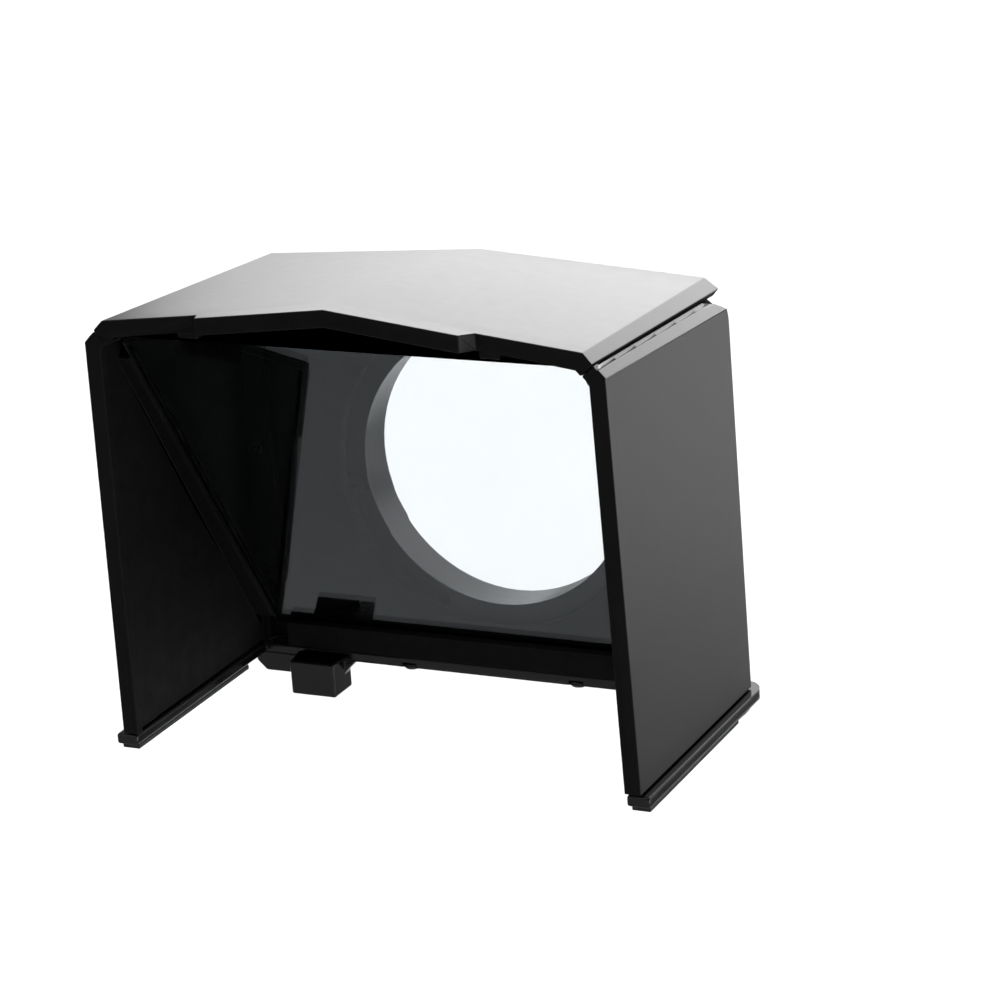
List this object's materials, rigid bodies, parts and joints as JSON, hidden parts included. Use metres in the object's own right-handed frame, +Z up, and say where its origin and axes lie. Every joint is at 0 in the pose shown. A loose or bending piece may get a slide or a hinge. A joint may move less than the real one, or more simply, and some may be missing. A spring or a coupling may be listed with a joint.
{
  "type": "phone teleprompter hood",
  "caption": "Black open-fronted hood with a hinged lid and a slanted clear glass over a U-shaped phone rest; a round collar clamps it to a threaded ring on a camera lens.",
  "frame": {"origin": "on the lens axis, where the lens's rim meets the adapter ring", "axes": "+Y along the lens axis towards the camera, +Z up, +X to the presenter's right as seen from the camera's front"},
  "size_m": [0.1216, 0.0821, 0.1075],
  "materials": {
    "satin_black_shell": "satin moulded ABS with a fine grain",
    "gloss_black_frame": "smooth, semi-gloss",
    "matte_black_inner": "matt, to keep stray light off the glass",
    "collar_black": "satin",
    "knob_black": "satin, fluted",
    "anodised_black": "black anodised, turned",
    "gel_rubber": "soft, slightly tacky",
    "black_felt": "short felt",
    "beam_splitter": "clear, with a partly reflecting coat on the lower face",
    "bright_steel": "turned",
    "black_steel": "black oxide",
    "brass": "turned"
  },
  "bodies": {
    "lens_ring": {"adapter_ring": "anodised_black"},
    "hood": {"base_frame": "gloss_black_frame", "rear_plate": "matte_black_inner", "side_panel_right": "satin_black_shell", "side_panel_left": "satin_black_shell", "cover_hinge_pin_right": "bright_steel", "cover_hinge_pin_left": "bright_steel", "beam_splitter_glass": "beam_splitter", "glass_sill": "matte_black_inner", "glass_tape_right": "black_felt", "glass_tape_left": "black_felt", "gel_pad_right": "gel_rubber", "gel_pad_left": "gel_rubber", "lens_collar": "collar_black", "light_seal": "black_felt", "clamp_insert_right": "brass", "clamp_insert_left": "brass", "collar_screw_1": "black_steel", "collar_screw_2": "black_steel", "collar_screw_3": "black_steel", "collar_screw_4": "black_steel", "panel_screw_right_1": "black_steel", "panel_screw_right_2": "black_steel", "panel_screw_right_3": "black_steel", "panel_screw_left_1": "black_steel", "panel_screw_left_2": "black_steel", "panel_screw_left_3": "black_steel", "sill_screw_right": "black_steel", "sill_screw_left": "black_steel", "base_screw_right": "black_steel", "base_screw_left": "black_steel"},
    "cover": {"top_cover": "satin_black_shell", "glass_bumper_right": "gel_rubber", "glass_bumper_left": "gel_rubber"},
    "clamp_right": {"clamp_stem_right": "bright_steel", "clamp_knob_right": "knob_black"},
    "clamp_left": {"clamp_stem_left": "bright_steel", "clamp_knob_left": "knob_black"}
  },
  "joints": [
    {"name": "hood_turn", "type": "hinge", "parent": "lens_ring", "child": "hood", "pos_m": [0, 0, 0], "axis": [0, 1, 0], "continuous": true},
    {"name": "cover_hinge", "type": "hinge", "parent": "hood", "child": "cover", "pos_m": [0, -0.0055, 0.04], "axis": [-1, 0, 0], "range_deg": [0, 105]},
    {"name": "clamp_turn_right", "type": "hinge", "parent": "hood", "child": "clamp_right", "pos_m": [0.04532, -0.0031, 0.02113], "axis": [0.9063, 0, 0.4226], "range_deg": [0, 720]},
    {"name": "clamp_turn_left", "type": "hinge", "parent": "hood", "child": "clamp_left", "pos_m": [-0.04532, -0.0031, 0.02113], "axis": [-0.9063, 0, 0.4226], "range_deg": [0, 720]}
  ]
}
